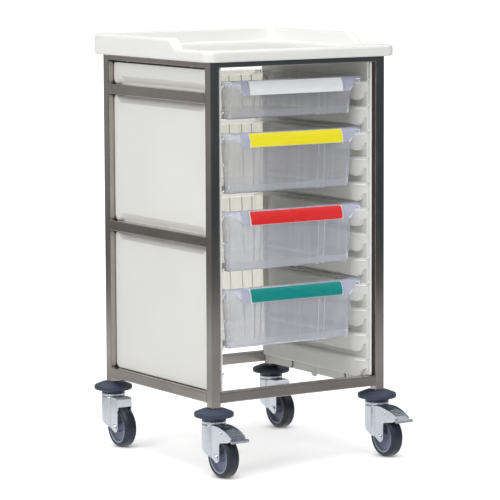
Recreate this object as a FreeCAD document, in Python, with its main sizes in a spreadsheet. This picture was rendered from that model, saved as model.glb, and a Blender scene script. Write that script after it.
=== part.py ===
import FreeCAD, Part
import math
import os
import re

import Sketcher
from FreeCAD import Placement, Rotation, Vector

# A tray trolley: a welded square-tube frame on four swivel castors, a moulded worktop,
# two moulded runner panels and four clear pull-out trays. The front faces -Y and +Z is up.

doc = FreeCAD.newDocument("tray_trolley")
sheet = doc.addObject("Spreadsheet::Sheet", "Dims")

# Driving dimensions in millimetres and degrees: name, value, meaning.
driving = [
    ("frame_width", 500, "outside width of the tube frame"),
    ("frame_depth", 500, "outside depth of the tube frame"),
    ("frame_top", 993, "top of the tube frame above the floor"),
    ("post_bottom", 159, "lower end of the posts"),
    ("tube", 25, "side of the square tube"),
    ("tube_wall", 1.5, "wall of the square tube"),
    ("tube_corner", 2, "outer corner radius of the square tube"),
    ("bottom_rail", 172, "underside of the bottom rails"),
    ("lower_drop", 449, "top of the frame to the underside of the lower side rails"),
    ("upper_drop", 109, "top of the frame to the underside of the upper side rails"),
    ("overhang", 22, "worktop beyond the frame on each side"),
    ("worktop_corner", 27, "plan radius of the worktop's corners"),
    ("skirt_drop", 11, "worktop skirt below the top of the frame"),
    ("skirt_wall", 6, "wall of the worktop skirt"),
    ("top_skin", 7, "thickness of the working surface"),
    ("edge_rise", 10, "low front edge above the working surface"),
    ("gallery_rise", 34, "gallery above the working surface"),
    ("gallery_width", 26, "width of the gallery and the front edge"),
    ("step_start", 120, "front of the frame to the foot of the gallery's end"),
    ("step_run", 30, "length of the gallery's sloping end"),
    ("step_round", 14, "radius at the foot and head of the gallery's end"),
    ("worktop_round", 9, "rounding along the worktop's outer upper edges"),
    ("skirt_round", 4, "rounding along the worktop's lower edge"),
    ("recess_round", 4.8, "rounding along the head and foot of the recess"),
    ("recess_corner", 16, "plan radius of the working surface's corners"),
    ("screw_dia", 4, "worktop screw shank"),
    ("screw_head", 7, "worktop screw head diameter"),
    ("screw_head_height", 2, "worktop screw head height"),
    ("screw_bite", 4.5, "depth of the screws in the worktop"),
    ("screw_reach", 150, "worktop screws in front of and behind the middle"),
    ("screw_gap", 0.1, "clearance round the worktop screws"),
    ("panel_inset", 15, "outer face of the side panel inside the frame's outer plane"),
    ("panel_gap", 1, "gap between the raised panel fields and the tubes"),
    ("panel_setback", 10, "panel edge behind the front plane of the posts"),
    ("panel_foot", 2, "panel edge below the bottom rail's underside"),
    ("panel_head", 3, "panel edge below the top of the frame"),
    ("flange", 5.5, "thickness of the panel's front and rear edges"),
    ("edge_gap", 5.5, "gap between those edges and the posts"),
    ("field_corner", 14, "corner radius of the raised panel fields"),
    ("field_round", 3, "rounding along the raised panel fields"),
    ("pocket_end", 12, "plain end of a panel field beside a rail pocket"),
    ("pocket_slant", 22, "slant at the ends of a rail pocket"),
    ("pocket_height", 20, "rail pocket above and below its rail"),
    ("pocket_floor", 3, "flat floor of a rail pocket beyond its rail"),
    ("first_ledge", 238.5, "top of the lowest runner above the floor"),
    ("runner_pitch", 62, "height from runner to runner"),
    ("runner_count", 12, "runners on each panel"),
    ("runner_height", 46, "height of one runner"),
    ("runner_round", 10, "rounding of a runner's upper edge"),
    ("runner_toe", 6, "rounding of a runner's lower edge"),
    ("sweep_start", 34, "panel edge to the upward sweep of a runner's underside"),
    ("sweep_run", 26, "length of that sweep"),
    ("sweep_rise", 21, "height of that sweep"),
    ("runner_overlap", 12, "runner under the tray rim"),
    ("runner_play", 8, "tray rim to the runner channel's back"),
    ("lead_in", 52, "length of the runners' curved ends"),
    ("lead_in_round", 75, "radius of the runners' curved ends"),
    ("clip_front", 133, "front clip slot in front of the middle"),
    ("clip_rear", 101, "rear clip slot behind the middle"),
    ("clip_height", 16, "clip slots above the panel's lower edge"),
    ("clip_outer", 7.5, "outer radius of a clip slot"),
    ("clip_inner", 4.5, "inner radius of a clip slot"),
    ("clip_depth", 3, "depth of the clip slots"),
    ("dowel_dia", 13, "locating boss at the foot of the panel"),
    ("dowel_height", 2, "height of the locating boss"),
    ("tray_width", 406, "tray across its rim"),
    ("tray_length", 420, "tray front to back over its rim"),
    ("tray_setback", 19, "tray rim behind the front plane of the posts"),
    ("shallow_height", 92, "height of the shallow tray"),
    ("deep_height", 146, "height of a deep tray"),
    ("tray_wall", 2.5, "wall of the trays"),
    ("tray_draft", 4, "draft of the tray walls in degrees"),
    ("tray_corner", 20, "corner radius of the tray walls"),
    ("tray_floor_round", 6, "rounding between the tray walls and floor"),
    ("rim_width", 16, "tray rim outside the walls"),
    ("rim_height", 13, "height of the turned-down rim"),
    ("rim_sheet", 2.5, "thickness of the rim"),
    ("rim_corner", 20, "corner radius of the rim"),
    ("tray_lift", 0.3, "tray rim above its runner"),
    ("grip_drop", 34, "front grip below the top of the rim"),
    ("grip_reach", 9, "front grip in front of the rim"),
    ("grip_round", 52, "radius of the grip's front"),
    ("grip_sheet", 3, "thickness of the grip"),
    ("grip_slant", 36, "narrowing of the grip at each end"),
    ("grip_end", 22, "rim corner to the end of the grip"),
    ("rib_width", 2, "width of a divider rib"),
    ("rib_depth", 2.5, "divider rib inside the wall"),
    ("rib_gap", 17, "middle to middle of the front wall's pair of ribs"),
    ("rib_third", 92.5, "that pair from the middle of the wall"),
    ("back_rib", 68.5, "first rib of the back wall from its middle"),
    ("back_rib_step", 36.5, "first to second rib of the back wall"),
    ("back_rib_gap", 30, "second to third rib of the back wall"),
    ("label_width", 268, "length of a label strip"),
    ("label_sheet", 1.6, "thickness of a label strip"),
    ("buffer_dia", 95, "rubber buffer disc"),
    ("buffer_neck", 56, "lower neck of the buffer"),
    ("buffer_rim", 10, "flat rim of the buffer"),
    ("buffer_fall", 8, "fall from the buffer's top to its rim"),
    ("buffer_crown", 56, "flat top of the buffer"),
    ("buffer_round", 3, "rounding of the buffer's rim"),
    ("plate_dia", 59, "bearing plate over the fork"),
    ("plate_height", 7.4, "thickness of the bearing plate"),
    ("plate_round", 2, "rounding of the bearing plate"),
    ("neck_height", 6, "height of the buffer's neck"),
    ("neck_dia", 16, "castor stem through the buffer"),
    ("plug_height", 45, "castor plug inside the post"),
    ("plug_gap", 0.15, "plug to the inside of the post"),
    ("king_dia", 12, "king pin"),
    ("king_head", 22, "riveted head of the king pin"),
    ("king_head_height", 3, "height of the riveted head"),
    ("pin_gap", 0.05, "radial running clearance of pins and axles"),
    ("side_gap", 0.3, "running clearance between flat faces"),
    ("wheel_dia", 100, "wheel over the tyre"),
    ("tyre_width", 32, "width of the tyre"),
    ("tyre_round", 9, "shoulder rounding of the tyre"),
    ("tyre_height", 10, "thickness of the tyre"),
    ("hub_width", 27, "width of the hub at its rim"),
    ("hub_rim", 5, "thickness of the hub's rim"),
    ("hub_web", 9, "thickness of the hub's web"),
    ("hub_boss", 26, "diameter of the hub's boss"),
    ("axle_dia", 10, "wheel axle"),
    ("axle_head", 15, "axle head"),
    ("axle_head_height", 3.5, "height of the axle heads"),
    ("trail", 42, "axle in front of the king pin"),
    ("fork_width", 42, "fork over its cheeks"),
    ("fork_sheet", 3, "sheet of the fork"),
    ("fork_barrel", 59, "round back of the fork about the king pin"),
    ("fork_knee", 100, "height where the fork's back starts to curve forward"),
    ("knee_round", 44, "radius of that curve"),
    ("knee_drop", 35, "height of that curve"),
    ("crown_top", 124.3, "top of the fork above the floor"),
    ("fork_crown", 8, "thickness of the fork's crown"),
    ("crown_round", 3, "rounding round the top of the fork"),
    ("boss_radius", 13, "fork round the axle"),
    ("boss_lean", 30, "slope of the fork's back above the axle in degrees"),
    ("apron_height", 15, "front apron of a fork without brake"),
    ("cheek_low", 86, "lower edge of the brake cheeks"),
    ("cheek_bend", 6.5, "rounding between the fork's leg and the brake cheek"),
    ("cheek_reach", 106, "brake cheeks in front of the king pin"),
    ("cheek_nose", 92.5, "lower front corner of the brake cheeks"),
    ("nose_chin", 12, "length of the nose's slanting corner"),
    ("nose_rise", 5.5, "height of the nose's slanting corner"),
    ("cheek_fall", 19, "brake cheeks' top edge from the crown to the nose"),
    ("cheek_round", 138, "radius of the brake cheeks' top edge"),
    ("pivot_reach", 60, "brake pivot in front of the king pin"),
    ("pivot_height", 110, "brake pivot above the floor"),
    ("pivot_dia", 6, "brake pivot pin"),
    ("pivot_head", 10, "head of the brake pivot pin"),
    ("pivot_head_height", 1.5, "height of the pivot pin's heads"),
    ("pedal_reach", 116, "brake pedal tip in front of the king pin"),
    ("pedal_lip", 50, "width of the pedal's lip"),
    ("lip_drop", 7, "pedal's lip below the top of the cheeks' nose"),
    ("tread_bars", 4, "bars across the pedal"),
    ("tread_start", 74, "first bar in front of the king pin"),
    ("tread_pitch", 7, "bar to bar"),
    ("tread_round", 2, "radius of a bar"),
    ("pedal_play", 0.5, "pedal to each cheek"),
    ("pedal_sheet", 2.5, "sheet of the pedal"),
    ("pedal_sink", 2, "pedal below the cheeks' top edge"),
    ("pedal_back", 36, "rear edge of the pedal in front of the king pin"),
    ("shoe_width", 26, "brake shoe"),
    ("shoe_gap", 5, "released brake shoe to the tyre"),
]

# Sizes that follow from the driving ones.
derived = [
    ("centre_y", "(pedal_reach - buffer_dia / 2) / 2", "frame centre behind the origin"),
    ("stem_x", "frame_width / 2 - tube / 2", "king pins left and right of the middle"),
    ("stem_y", "frame_depth / 2 - tube / 2", "king pins in front of and behind the middle"),
    ("top_rail", "frame_top - tube", "underside of the top rails"),
    ("upper_rail", "frame_top - upper_drop", "underside of the upper side rails"),
    ("lower_rail", "frame_top - lower_drop", "underside of the lower side rails"),
    ("surface", "frame_top + top_skin", "working surface"),
    ("worktop_half_x", "frame_width / 2 + overhang", "worktop half width"),
    ("worktop_half_y", "frame_depth / 2 + overhang", "worktop half depth"),
    ("seat_x", "frame_width / 2 - tube", "inner faces of the posts and side rails"),
    ("seat_y", "frame_depth / 2 - tube", "inner faces of the posts, front to back"),
    ("face_x", "frame_width / 2 - panel_inset", "outer face of the side panels"),
    ("rim_half", "tray_width / 2", "half of the tray rim"),
    ("channel_x", "rim_half + runner_play", "back of the runner channels"),
    ("ledge_x", "rim_half - runner_overlap", "inner face of the runners"),
    ("panel_half", "frame_depth / 2 - panel_setback", "panel half depth"),
    ("panel_bottom", "bottom_rail - panel_foot", "lower edge of the panels"),
    ("panel_top", "frame_top - panel_head", "upper edge of the panels"),
    ("field_half", "seat_y - panel_gap", "half length of the raised panel fields"),
    ("pocket_half", "field_half - pocket_end", "half length of a rail pocket at its rail"),
    ("tray_front", "tray_setback - frame_depth / 2", "front of the tray rim"),
    ("tray_back", "tray_front + tray_length", "back of the tray rim"),
    ("tray_middle", "tray_front + tray_length / 2", "middle of the tray, front to back"),
    ("wall_half_x", "rim_half - rim_width", "outside of the tray's side walls at the rim"),
    ("wall_half_y", "tray_length / 2 - rim_width", "outside of the tray's end walls at the rim"),
    ("grip_half", "rim_half - grip_end", "half length of the grip at the rim"),
    ("wheel_radius", "wheel_dia / 2", "wheel radius and axle height"),
    ("hub_radius", "wheel_radius - tyre_height", "hub under the tyre"),
    ("neck_bottom", "crown_top + side_gap + plate_height", "lower face of the buffer"),
    ("cheek_half", "fork_width / 2 - fork_sheet", "inner faces of the fork cheeks"),
    ("crown_under", "crown_top - fork_crown", "underside of the fork's crown"),
    ("fork_front", "trail + boss_radius", "front edge of the fork's legs"),
    ("fork_rear", "fork_barrel / 2", "rear of the fork behind the king pin"),
    ("knee_in", "knee_round - sqrt(knee_round ^ 2 - knee_drop ^ 2)", "forward reach of the back's curve"),
]

for row, (name, value, meaning) in enumerate(driving, start=1):
    sheet.set("A%d" % row, meaning)
    sheet.set("B%d" % row, str(value))
    sheet.setAlias("B%d" % row, name)
for row, (name, formula, meaning) in enumerate(derived, start=len(driving) + 1):
    sheet.set("A%d" % row, meaning)
    sheet.set("B%d" % row, "=" + formula)
    sheet.setAlias("B%d" % row, name)
doc.recompute()

size_names = {entry[0] for entry in driving + derived}
pieces = []


def sized(text):
    """Turn a formula in size names into one that reads them from the sheet."""
    named = lambda word: "Dims." + word.group() if word.group() in size_names else word.group()
    return re.sub(r"[a-z_]+", named, str(text))


def number(text):
    return float(sheet.evalExpression(sized(text)))


def bind(item, field, text):
    item.setExpression(field, sized(text))


def new_body(label):
    body = doc.addObject("PartDesign::Body", label)
    body.Label = label
    pieces.append(body)
    return body


def place(item, x, y, z, turn=None):
    """Put a piece at x, y, z, with y counted from the middle of the frame."""
    if turn:
        item.Placement = Placement(Vector(0, 0, 0), Rotation(Vector(*turn[0]), turn[1]))
    bind(item, "Placement.Base.x", x)
    bind(item, "Placement.Base.y", "centre_y + %s" % y)
    bind(item, "Placement.Base.z", z)


def origin_item(body, role):
    return next(item for item in body.Origin.OriginFeatures if item.Role == role)


def new_sketch(body, name, plane, offset="0"):
    sketch = body.newObject("Sketcher::SketchObject", name)
    sketch.AttachmentSupport = [(origin_item(body, plane), "")]
    sketch.MapMode = "FlatFace"
    bind(sketch, "AttachmentOffset.Base.z", offset)
    return sketch


def pin_value(sketch, kind, geometry, corner, text):
    """Hold one coordinate of a sketch point at a formula's value."""
    index = sketch.addConstraint(Sketcher.Constraint(kind, -1, 1, geometry, corner, number(text)))
    name = "%s_%d" % (kind.lower(), index)
    sketch.renameConstraint(index, name)
    bind(sketch, "Constraints." + name, text)


def pin_radius(sketch, geometry, text):
    index = sketch.addConstraint(Sketcher.Constraint("Radius", geometry, number(text)))
    name = "radius_%d" % index
    sketch.renameConstraint(index, name)
    bind(sketch, "Constraints." + name, text)


def arc_between(start, end, radius, turn):
    """A minor arc from start to end that turns left or right along the way."""
    chord = end - start
    half = chord.Length / 2
    side = Vector(-chord.y, chord.x, 0).normalize()
    height = math.sqrt(max(radius**2 - half**2, 0))
    centre = (start + end) / 2 + side * (height if turn == "left" else -height)
    first, last = (start, end) if turn == "left" else (end, start)
    angles = [math.atan2(point.y - centre.y, point.x - centre.x) for point in (first, last)]
    return Part.ArcOfCircle(Part.Circle(centre, Vector(0, 0, 1), radius), *angles)


def draw(sketch, outline):
    """Draw a closed outline: corners (x, y), or (x, y, radius, turn) where an arc leads to the next one."""
    corners = [Vector(number(corner[0]), number(corner[1]), 0) for corner in outline]
    runs = []
    for index, corner in enumerate(outline):
        start = corners[index]
        end = corners[(index + 1) % len(corners)]
        if len(corner) == 2:
            geometry = sketch.addGeometry(Part.LineSegment(start, end))
            runs.append((geometry, 1, 2))
        else:
            geometry = sketch.addGeometry(arc_between(start, end, number(corner[2]), corner[3]))
            runs.append((geometry, 1, 2) if corner[3] == "left" else (geometry, 2, 1))
    for index, (geometry, first, last) in enumerate(runs):
        following = runs[(index + 1) % len(runs)]
        sketch.addConstraint(Sketcher.Constraint("Coincident", geometry, last, following[0], following[1]))
    for corner, (geometry, first, last) in zip(outline, runs):
        pin_value(sketch, "DistanceX", geometry, first, corner[0])
        pin_value(sketch, "DistanceY", geometry, first, corner[1])
        if len(corner) > 2:
            pin_radius(sketch, geometry, corner[2])


def draw_rectangle(sketch, left, right, low, high):
    draw(sketch, [(left, low), (right, low), (right, high), (left, high)])


def draw_rounded(sketch, left, right, low, high, radius):
    """A rectangle with four equal round corners."""
    draw(sketch, [
        ("%s + %s" % (left, radius), low),
        ("%s - (%s)" % (right, radius), low, radius, "left"),
        (right, "%s + %s" % (low, radius)),
        (right, "%s - (%s)" % (high, radius), radius, "left"),
        ("%s - (%s)" % (right, radius), high),
        ("%s + %s" % (left, radius), high, radius, "left"),
        (left, "%s - (%s)" % (high, radius)),
        (left, "%s + %s" % (low, radius), radius, "left"),
    ])


def draw_half_ring(sketch, x, y, outer, inner):
    """Half of a flat ring, open to the right."""
    draw(sketch, [
        (x, "%s + %s" % (y, outer), outer, "left"),
        ("%s - %s" % (x, outer), y, outer, "left"),
        (x, "%s - %s" % (y, outer)),
        (x, "%s - %s" % (y, inner), inner, "right"),
        ("%s - %s" % (x, inner), y, inner, "right"),
        (x, "%s + %s" % (y, inner)),
    ])


def draw_circle(sketch, x, y, radius):
    circle = Part.Circle(Vector(number(x), number(y), 0), Vector(0, 0, 1), number(radius))
    geometry = sketch.addGeometry(circle)
    pin_value(sketch, "DistanceX", geometry, 3, x)
    pin_value(sketch, "DistanceY", geometry, 3, y)
    pin_radius(sketch, geometry, radius)


def extrude(body, kind, sketch, length, side="One side", reverse=False, draft=None):
    """Pad or pocket a sketch."""
    feature = body.newObject("PartDesign::" + kind, "%s_%s" % (sketch.Name, kind.lower()))
    feature.Profile = sketch
    feature.SideType = side
    feature.Reversed = reverse
    bind(feature, "Length", length)
    if draft:
        bind(feature, "TaperAngle", draft)
    doc.recompute()
    return feature


def revolve(body, sketch, axis):
    feature = body.newObject("PartDesign::Revolution", sketch.Name + "_turned")
    feature.Profile = sketch
    feature.ReferenceAxis = (sketch, [axis])
    feature.Angle = 360
    doc.recompute()
    return feature


def round_edges(body, name, chosen, radius):
    """Round the edges of the body for which chosen(edge) is true."""
    base = body.Tip
    edges = ["Edge%d" % (index + 1) for index, edge in enumerate(base.Shape.Edges) if chosen(edge)]
    fillet = body.newObject("PartDesign::Fillet", name)
    fillet.Base = (base, edges)
    bind(fillet, "Radius", radius)
    doc.recompute()
    return fillet


def runs_along(edge, axis):
    """True for a straight edge along X, Y or Z."""
    if not isinstance(edge.Curve, (Part.Line, Part.LineSegment)):
        return False
    span = edge.Vertexes[-1].Point - edge.Vertexes[0].Point
    return abs(span[axis]) > 0.999 * span.Length


def close(value, text, reach=0.05):
    return abs(value - number(text)) < reach


def middle(edge):
    return edge.valueAt((edge.FirstParameter + edge.LastParameter) / 2)


# Tube frame


def square_tube(label, length):
    body = new_body(label)
    sketch = new_sketch(body, label + "_section", "XY_Plane")
    draw_rectangle(sketch, "-tube / 2", "tube / 2", "-tube / 2", "tube / 2")
    inside = "tube / 2 - tube_wall"
    draw_rectangle(sketch, "-(%s)" % inside, inside, "-(%s)" % inside, inside)
    extrude(body, "Pad", sketch, length)
    corners = lambda edge: runs_along(edge, 2) and close(abs(middle(edge).x), "tube / 2")
    round_edges(body, label + "_corners", corners, "tube_corner")
    return body


def drill_rail(body, label):
    """Holes for the worktop screws, straight up through a top side rail."""
    sketch = new_sketch(body, label + "_holes", "XZ_Plane")
    for reach in ("-screw_reach", "screw_reach"):
        draw_circle(sketch, "0", "seat_y + %s" % reach, "screw_dia / 2 + screw_gap")
    extrude(body, "Pocket", sketch, "2 * tube", side="Symmetric")


def make_frame():
    for end, y in (("front", "-stem_y"), ("rear", "stem_y")):
        for hand, x in (("left", "-stem_x"), ("right", "stem_x")):
            post = square_tube("post_%s_%s" % (end, hand), "frame_top - post_bottom")
            place(post, x, y, "post_bottom")
    for hand, x in (("left", "-stem_x"), ("right", "stem_x")):
        for level in ("top", "upper", "lower", "bottom"):
            label = "%s_%s_rail" % (hand, level)
            rail = square_tube(label, "2 * seat_y")
            if level == "top":
                drill_rail(rail, label)
            place(rail, x, "-seat_y", "%s_rail + tube / 2" % level, ((1, 0, 0), -90))
    for end, y in (("front", "-stem_y"), ("rear", "stem_y")):
        for level in ("top", "bottom"):
            rail = square_tube("%s_%s_rail" % (end, level), "2 * seat_x")
            place(rail, "-seat_x", y, "%s_rail + tube / 2" % level, ((0, 1, 0), 90))


# Worktop


def make_worktop():
    body = new_body("worktop")
    outline = new_sketch(body, "worktop_outline", "XY_Plane", "frame_top - skirt_drop")
    draw_rectangle(outline, "-worktop_half_x", "worktop_half_x", "-worktop_half_y", "worktop_half_y")
    extrude(body, "Pad", outline, "skirt_drop + top_skin + gallery_rise")
    round_edges(body, "worktop_corners", lambda edge: runs_along(edge, 2), "worktop_corner")

    # The gallery falls to the low front edge in an S-shaped step on both sides.
    step = new_sketch(body, "gallery_step", "YZ_Plane")
    foot = "step_start - frame_depth / 2"
    head = foot + " + step_run"
    clear = "-worktop_half_y - overhang"
    above = "surface + gallery_rise"
    draw(step, [
        (clear, "surface + edge_rise"),
        (foot, "surface + edge_rise"),
        (head, above),
        (head, above + " + overhang"),
        (clear, above + " + overhang"),
    ])
    extrude(body, "Pocket", step, "4 * worktop_half_x", side="Symmetric")
    round_edges(body, "gallery_step_rounds", lambda edge: runs_along(edge, 0)
                and (close(middle(edge).y, foot) or close(middle(edge).y, head)), "step_round")

    recess = new_sketch(body, "working_recess", "XY_Plane", "surface")
    inner_x = "worktop_half_x - gallery_width"
    inner_y = "worktop_half_y - gallery_width"
    draw_rectangle(recess, "-(%s)" % inner_x, inner_x, "-(%s)" % inner_y, inner_y)
    extrude(body, "Pocket", recess, "2 * gallery_rise", reverse=True)
    upright = lambda edge: runs_along(edge, 2) and middle(edge).z > number("surface")
    in_recess = lambda edge: upright(edge) and close(abs(middle(edge).x), inner_x)
    round_edges(body, "recess_corners", in_recess, "recess_corner")

    skirt = new_sketch(body, "skirt_inside", "XY_Plane", "frame_top - skirt_drop")
    draw_rounded(skirt, "skirt_wall - worktop_half_x", "worktop_half_x - skirt_wall",
                 "skirt_wall - worktop_half_y", "worktop_half_y - skirt_wall",
                 "(worktop_corner - skirt_wall)")
    extrude(body, "Pocket", skirt, "skirt_drop", reverse=True)

    holes = new_sketch(body, "worktop_screw_holes", "XY_Plane", "frame_top")
    for x in ("-stem_x", "stem_x"):
        for y in ("-screw_reach", "screw_reach"):
            draw_circle(holes, x, y, "screw_dia / 2 + screw_gap")
    extrude(body, "Pocket", holes, "screw_bite", reverse=True)

    def upper_edge(edge):
        """An edge of the gallery's or the front edge's rounded top."""
        point = middle(edge)
        return point.z > number("surface + edge_rise") - 0.1 and edge.Length > 1 and not crosses_rim(edge)

    def outside(edge):
        """True in the outer half of the gallery and the front edge."""
        point = middle(edge)
        beyond = max(abs(point.x) - number("worktop_half_x"), abs(point.y) - number("worktop_half_y"))
        return beyond > -number("gallery_width") / 2

    def on_outline(edge):
        """True for the straight sides and the corners of the worktop's outline."""
        box = edge.BoundBox
        reach_x = close(max(abs(box.XMin), abs(box.XMax)), "worktop_half_x")
        reach_y = close(max(abs(box.YMin), abs(box.YMax)), "worktop_half_y")
        return reach_x or reach_y

    def crosses_rim(edge):
        """True for the lines where two faces meet smoothly across the rim."""
        box = edge.BoundBox
        across = box.YLength < 0.01 and box.ZLength < 0.01
        return across and 1 < box.XLength < number("gallery_width") + 1

    def level_at(edge, height):
        return close(edge.BoundBox.ZMax, height) and close(edge.BoundBox.ZMin, height)

    round_edges(body, "worktop_rounds", lambda edge: upper_edge(edge) and outside(edge), "worktop_round")
    round_edges(body, "recess_rounds", lambda edge: upper_edge(edge) and not outside(edge), "recess_round")
    round_edges(body, "surface_rounds", lambda edge: level_at(edge, "surface"), "recess_round")
    skirt_foot = lambda edge: level_at(edge, "frame_top - skirt_drop") and on_outline(edge)
    round_edges(body, "skirt_rounds", skirt_foot, "skirt_round")
    place(body, "0", "0", "0")


def make_worktop_screws():
    screws = []
    for x in ("-stem_x", "stem_x"):
        for y in ("-screw_reach", "screw_reach"):
            shank = doc.addObject("Part::Cylinder", "screw_shank")
            bind(shank, "Radius", "screw_dia / 2")
            bind(shank, "Height", "tube + screw_bite")
            head = doc.addObject("Part::Cone", "screw_head")
            bind(head, "Radius1", "screw_head / 3")
            bind(head, "Radius2", "screw_head / 2")
            bind(head, "Height", "screw_head_height")
            bind(head, "Placement.Base.z", "-screw_head_height")
            screw = doc.addObject("Part::Fuse", "worktop_screw")
            screw.Base = shank
            screw.Tool = head
            place(screw, x, y, "top_rail")
            screws.append(screw)
    group = doc.addObject("Part::Compound", "worktop_screws")
    group.Links = screws
    group.Label = "worktop_screws"
    pieces.append(group)


# Side panels


def draw_pocket(sketch, low, high, inset, height):
    """The eight-sided outline of a rail pocket between two heights."""
    long_end = "pocket_half - %s" % inset
    short_end = "pocket_half - pocket_slant - %s" % inset
    draw(sketch, [
        ("-(%s)" % long_end, low),
        ("-(%s)" % short_end, "%s - %s" % (low, height)),
        (short_end, "%s - %s" % (low, height)),
        (long_end, low),
        (long_end, high),
        (short_end, "%s + %s" % (high, height)),
        ("-(%s)" % short_end, "%s + %s" % (high, height)),
        ("-(%s)" % long_end, high),
    ])


def make_panels():
    panel = new_body("right_side_panel")
    liner = new_sketch(panel, "panel_liner", "XY_Plane", "panel_bottom")
    draw_rectangle(liner, "channel_x", "seat_x", "-panel_half", "panel_half")
    extrude(panel, "Pad", liner, "panel_top - panel_bottom")

    # One runner, repeated up the panel.
    runner = new_sketch(panel, "runner_section", "XZ_Plane")
    root = "(channel_x + seat_x) / 2"
    runner_foot = "first_ledge - runner_height"
    draw(runner, [
        (root, "first_ledge"),
        ("ledge_x + runner_round", "first_ledge", "runner_round", "left"),
        ("ledge_x", "first_ledge - runner_round"),
        ("ledge_x", runner_foot + " + runner_toe", "runner_toe", "left"),
        ("ledge_x + runner_toe", runner_foot),
        (root, runner_foot),
    ])
    first = extrude(panel, "Pad", runner, "2 * panel_half", side="Symmetric")

    # Its underside sweeps up at both ends in an S of two arcs.
    sweep = new_sketch(panel, "runner_sweep", "YZ_Plane", "channel_x")
    bend = "(sweep_run ^ 2 + sweep_rise ^ 2) / (4 * sweep_rise)"
    low = runner_foot
    half_up = runner_foot + " + sweep_rise / 2"
    high = runner_foot + " + sweep_rise"
    for side, first_turn, second_turn in (("-", "right", "left"), ("", "left", "right")):
        draw(sweep, [
            (side + "(panel_half - sweep_start)", low, bend, first_turn),
            (side + "(panel_half - sweep_start + sweep_run / 2)", half_up, bend, second_turn),
            (side + "(panel_half - sweep_start + sweep_run)", high),
            (side + "(panel_half + flange)", high),
            (side + "(panel_half + flange)", low + " - flange"),
            (side + "(panel_half - sweep_start)", low + " - flange"),
        ])
    swept = extrude(panel, "Pocket", sweep, "channel_x - ledge_x + flange")
    rows = panel.newObject("PartDesign::LinearPattern", "runners")
    rows.Originals = [first, swept]
    rows.Direction = (runner, ["V_Axis"])
    rows.Mode = "Spacing"
    bind(rows, "Offset", "runner_pitch")
    bind(rows, "Occurrences", "runner_count")
    panel.Tip = rows
    doc.recompute()

    # Both ends of the runners curve away to the thin edges of the panel.
    ends = new_sketch(panel, "lead_in_ends", "XY_Plane")
    edge_x = "seat_x - edge_gap - flange"
    past_x = "ledge_x - flange"
    straight = "panel_half - flange"
    full = "panel_half - lead_in"
    draw(ends, [
        (edge_x, "-panel_half - flange"),
        (edge_x, "-(%s)" % straight, "lead_in_round", "right"),
        ("ledge_x", "-(%s)" % full),
        (past_x, "-(%s)" % full),
        (past_x, "-panel_half - flange"),
    ])
    draw(ends, [
        (edge_x, "panel_half + flange"),
        (past_x, "panel_half + flange"),
        (past_x, full),
        ("ledge_x", full, "lead_in_round", "right"),
        (edge_x, straight),
    ])
    extrude(panel, "Pocket", ends, "2 * frame_top", side="Symmetric")

    # Raised outer fields between the rails, with a sloped pocket round each middle rail.
    for name, low, high in (
        ("lower_field", "bottom_rail + tube", "lower_rail"),
        ("middle_field", "lower_rail + tube", "upper_rail"),
        ("upper_field", "upper_rail + tube", "top_rail"),
    ):
        field = new_sketch(panel, name, "YZ_Plane", "seat_x")
        draw_rectangle(field, "-field_half", "field_half", low + " + panel_gap", high + " - panel_gap")
        extrude(panel, "Pad", field, "face_x - seat_x")
    field_ends = lambda edge: runs_along(edge, 0) and close(abs(middle(edge).y), "field_half")
    round_edges(panel, "field_corners", field_ends, "field_corner")
    on_face = lambda edge: close(edge.BoundBox.XMin, "face_x") and close(edge.BoundBox.XMax, "face_x")
    round_edges(panel, "field_rounds", on_face, "field_round")
    # The corners stand clear of the front and rear rails.
    notches = new_sketch(panel, "panel_notches", "YZ_Plane")
    for near, far in (
        ("seat_y - panel_gap", "panel_half + flange"),
        ("-panel_half - flange", "panel_gap - seat_y"),
    ):
        draw_rectangle(notches, near, far, "panel_bottom - flange", "bottom_rail + tube + panel_gap")
        draw_rectangle(notches, near, far, "top_rail - panel_gap", "panel_top + flange")
    extrude(panel, "Pocket", notches, "2 * frame_width", side="Symmetric")
    # The thin edges stand clear of the posts.
    relief = new_sketch(panel, "edge_relief", "XY_Plane")
    for near, far in (
        ("seat_y - panel_gap", "panel_half + flange"),
        ("-panel_half - flange", "panel_gap - seat_y"),
    ):
        draw_rectangle(relief, "seat_x - edge_gap", "seat_x + edge_gap", near, far)
    extrude(panel, "Pocket", relief, "2 * frame_top", side="Symmetric")

    # Clip slots and a locating boss along the foot of the panel.
    clips = new_sketch(panel, "clip_slots", "YZ_Plane", "channel_x")
    for y in ("-clip_front", "clip_rear"):
        draw_half_ring(clips, y, "panel_bottom + clip_height", "clip_outer", "clip_inner")
    extrude(panel, "Pocket", clips, "clip_depth", reverse=True)
    dowel = new_sketch(panel, "locating_boss", "YZ_Plane", "channel_x - dowel_height")
    draw_circle(dowel, "0", "panel_bottom + dowel_dia / 2", "dowel_dia / 2")
    extrude(panel, "Pad", dowel, "2 * dowel_height")

    for level in ("lower", "upper"):
        low = "%s_rail - panel_gap" % level
        high = "%s_rail + tube + panel_gap" % level
        mouth = new_sketch(panel, level + "_pocket_mouth", "YZ_Plane", "face_x")
        draw_pocket(mouth, low, high, "0", "pocket_height")
        floor = new_sketch(panel, level + "_pocket_floor", "YZ_Plane", "seat_x")
        draw_pocket(floor, low, high, "pocket_end", "pocket_floor")
        pocket = panel.newObject("PartDesign::SubtractiveLoft", level + "_pocket")
        pocket.Profile = mouth
        pocket.Sections = [floor]
        pocket.Ruled = True
        doc.recompute()
    place(panel, "0", "0", "0")

    mirrored = doc.addObject("Part::Mirroring", "left_side_panel")
    mirrored.Source = panel
    mirrored.Normal = Vector(1, 0, 0)
    mirrored.Label = "left_side_panel"
    pieces.append(mirrored)


# Trays and labels


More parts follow.
